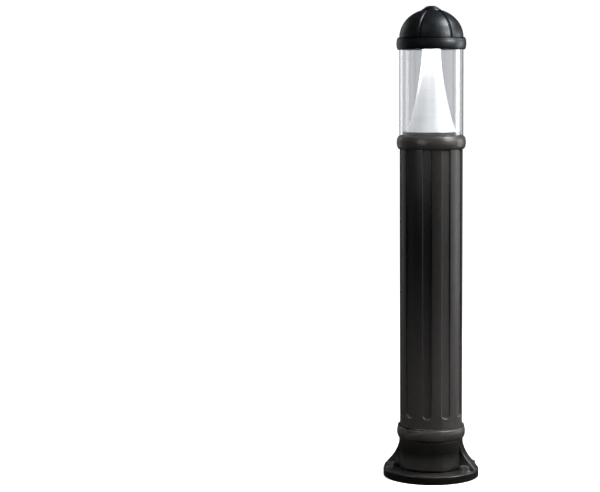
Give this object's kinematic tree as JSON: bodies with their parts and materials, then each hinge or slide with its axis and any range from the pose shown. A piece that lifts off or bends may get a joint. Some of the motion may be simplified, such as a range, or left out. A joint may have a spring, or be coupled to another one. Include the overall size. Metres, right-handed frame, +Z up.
{
  "type": "bollard light",
  "caption": "Round bollard light: bolted cast base, fluted hollow post, clear lantern tube around a flared reflector, ribbed dome cap with a screw-down finial.",
  "frame": {"origin": "centre of the base flange's underside, on the ground", "axes": "+Z up along the post; the base's two claw wings lie on +X and -X"},
  "size_m": [0.204, 0.204, 1],
  "materials": {
    "cast_black": "matte",
    "steel": "satin",
    "blackened_steel": "satin",
    "gasket_rubber": "matte",
    "clear_acrylic": "gloss",
    "bright_reflector": "satin",
    "bare_aluminium": "satin",
    "white_board": "satin",
    "led_phosphor": "satin",
    "frosted_lens": "satin",
    "driver_case": "matte",
    "terminal_plastic": "matte",
    "black_plastic": "matte",
    "lead_sheath": "matte",
    "brass": "satin"
  },
  "bodies": {
    "root": {"base_casting": "cast_black", "anchor_washers": "blackened_steel", "anchor_nuts": "blackened_steel", "foot_gasket": "gasket_rubber", "post_column": "cast_black", "post_foot_screws": "steel", "column_top_collar": "cast_black", "lantern_seat": "cast_black", "seat_screws": "steel", "tube_seat_gasket": "gasket_rubber", "reflector_trumpet": "bright_reflector", "tie_rod": "steel", "tie_rod_nuts": "steel", "lamp_heat_sink": "bare_aluminium", "led_board": "white_board", "led_chips": "led_phosphor", "led_lens_ring": "frosted_lens", "board_screws": "steel", "gear_tray": "bare_aluminium", "tray_screws": "steel", "led_driver": "driver_case", "driver_screws": "steel", "terminal_block": "terminal_plastic", "terminal_screws": "steel", "cable_clamp": "black_plastic", "clamp_screws": "steel", "earth_stud": "brass", "earth_nut": "brass", "lamp_lead": "lead_sheath", "input_lead": "lead_sheath"},
    "lantern_tube": {"diffuser_tube": "clear_acrylic"},
    "cap": {"cap_dome": "cast_black", "cap_gasket": "gasket_rubber"},
    "finial_seat": {"finial_washer": "cast_black"},
    "finial": {"finial_knob": "cast_black"}
  },
  "joints": [
    {"name": "tube_lift", "type": "slide", "parent": "root", "child": "lantern_tube", "axis": [0, 0, 1], "range_m": [0, 0.27]},
    {"name": "cap_lift", "type": "slide", "parent": "lantern_tube", "child": "cap", "axis": [0, 0, 1], "range_m": [0, 0.08]},
    {"name": "finial_rise", "type": "slide", "parent": "cap", "child": "finial_seat", "axis": [0, 0, 1], "range_m": [0, 0.0075]},
    {"name": "finial_turn", "type": "hinge", "parent": "finial_seat", "child": "finial", "pos_m": [0, 0, 0.985], "axis": [0, 0, 1], "range_deg": [0, 1800]}
  ],
  "couplings": [
    {"joint": "finial_turn", "follows": "finial_rise", "rad_per_m": 4188.8}
  ]
}
